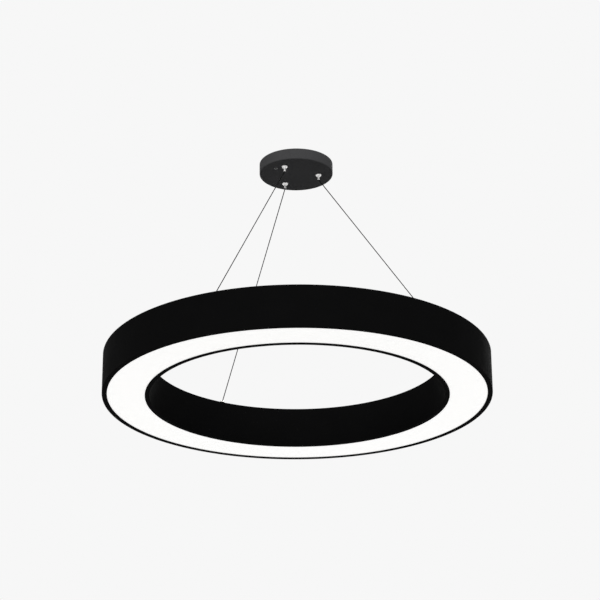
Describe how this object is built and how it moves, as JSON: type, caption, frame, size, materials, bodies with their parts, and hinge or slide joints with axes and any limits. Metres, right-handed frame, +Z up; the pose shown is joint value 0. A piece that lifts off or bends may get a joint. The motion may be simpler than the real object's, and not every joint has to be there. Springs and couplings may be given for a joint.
{
  "type": "ring pendant light",
  "caption": "Ring pendant light: black square-section ring lit by an opal underside, hung by steel wires with push-release grippers from a round ceiling canopy.",
  "frame": {"origin": "centre of the ceiling bracket on the ceiling plane", "axes": "+Z up into the ceiling, +X to the right and +Y away from the viewer of the picture"},
  "size_m": [0.8, 0.8, 0.534],
  "materials": {
    "ring_black": "matte black powder coat on aluminium",
    "opal": "frosted opal acrylic, lit from inside",
    "canopy_grey": "satin dark grey paint on steel",
    "polished_nickel": "polished nickel plate",
    "wire_steel": "blackened stranded steel",
    "zinc_steel": "bright zinc plate",
    "black_steel": "black oxide",
    "hard_steel": "hardened steel",
    "plain_aluminium": "mill finish",
    "white_board": "white solder mask",
    "led_phosphor": "phosphor in white packages",
    "white_plastic": "moulded, fine texture",
    "black_nylon": "moulded nylon",
    "grey_nylon": "moulded nylon",
    "black_rubber": "soft rubber",
    "brass": "plain brass"
  },
  "bodies": {
    "canopy": {"canopy_cup": "canopy_grey", "ceiling_bracket": "zinc_steel", "canopy_grub_screws": "black_steel", "earth_screw": "brass", "flex_outlet_bush": "grey_nylon", "terminal_block": "white_plastic", "terminal_tubes": "brass", "terminal_screws": "zinc_steel", "terminal_fixing_screw": "zinc_steel", "gripper_caps": "zinc_steel", "gripper_nuts": "zinc_steel", "gripper_washers": "zinc_steel", "gripper_body_a": "polished_nickel", "gripper_spring_a": "hard_steel", "wire_tail_a": "wire_steel", "gripper_body_b": "polished_nickel", "gripper_spring_b": "hard_steel", "wire_tail_b": "wire_steel", "gripper_body_c": "polished_nickel", "gripper_spring_c": "hard_steel", "wire_tail_c": "wire_steel"},
    "ring": {"outer_hoop": "ring_black", "inner_hoop": "ring_black", "top_cover": "ring_black", "cover_screws": "black_steel", "diffuser": "opal", "led_tray": "plain_aluminium", "tray_pillars": "zinc_steel", "pillar_screws": "black_steel", "led_boards": "white_board", "led_chips": "led_phosphor", "board_screws": "zinc_steel", "driver_case_a": "white_plastic", "driver_case_b": "white_plastic", "driver_end_caps": "white_plastic", "driver_screws": "zinc_steel", "gear_terminal_block": "white_plastic", "gear_terminal_tubes": "brass", "gear_terminal_screws": "zinc_steel", "gear_terminal_fixing_screw": "zinc_steel", "anchor_domes": "polished_nickel", "anchor_retainers": "polished_nickel", "anchor_plates": "zinc_steel", "anchor_nuts": "zinc_steel", "gland_body": "black_nylon", "gland_seal": "black_rubber", "gland_cap": "black_nylon", "gland_locknut": "black_nylon"},
    "span_a": {"wire_a": "wire_steel", "wire_end_a": "wire_steel"},
    "plunger_a": {"gripper_plunger_a": "polished_nickel", "gripper_balls_a": "hard_steel"},
    "span_b": {"wire_b": "wire_steel", "wire_end_b": "wire_steel"},
    "plunger_b": {"gripper_plunger_b": "polished_nickel", "gripper_balls_b": "hard_steel"},
    "span_c": {"wire_c": "wire_steel", "wire_end_c": "wire_steel"},
    "plunger_c": {"gripper_plunger_c": "polished_nickel", "gripper_balls_c": "hard_steel"}
  },
  "joints": [
    {"name": "ring_sway", "type": "hinge", "parent": "canopy", "child": "ring", "pos_m": [0, 0, 0.03226], "axis": [0, 1, 0], "range_deg": [-4, 4]},
    {"name": "span_a_tilt", "type": "hinge", "parent": "canopy", "child": "span_a", "pos_m": [-0.024, -0.04157, -0.0355], "axis": [0, 1, 0], "range_deg": [-4.7, 4.7]},
    {"name": "plunger_a_press", "type": "slide", "parent": "canopy", "child": "plunger_a", "axis": [0, 0, 1], "range_m": [0, 0.0025], "stiffness_N_per_m": 800, "springref_m": -0.002, "deforming": ["gripper_spring_a"]},
    {"name": "span_b_tilt", "type": "hinge", "parent": "canopy", "child": "span_b", "pos_m": [-0.024, 0.04157, -0.0355], "axis": [0, 1, 0], "range_deg": [-4.7, 4.7]},
    {"name": "plunger_b_press", "type": "slide", "parent": "canopy", "child": "plunger_b", "axis": [0, 0, 1], "range_m": [0, 0.0025], "stiffness_N_per_m": 800, "springref_m": -0.002, "deforming": ["gripper_spring_b"]},
    {"name": "span_c_tilt", "type": "hinge", "parent": "canopy", "child": "span_c", "pos_m": [0.048, 0, -0.0355], "axis": [0, 1, 0], "range_deg": [-4.7, 4.7]},
    {"name": "plunger_c_press", "type": "slide", "parent": "canopy", "child": "plunger_c", "axis": [0, 0, 1], "range_m": [0, 0.0025], "stiffness_N_per_m": 800, "springref_m": -0.002, "deforming": ["gripper_spring_c"]}
  ],
  "couplings": [
    {"joint": "span_a_tilt", "follows": "ring_sway", "ratio": 1.1661},
    {"joint": "span_b_tilt", "follows": "ring_sway", "ratio": 1.1661},
    {"joint": "span_c_tilt", "follows": "ring_sway", "ratio": 1.1661}
  ]
}
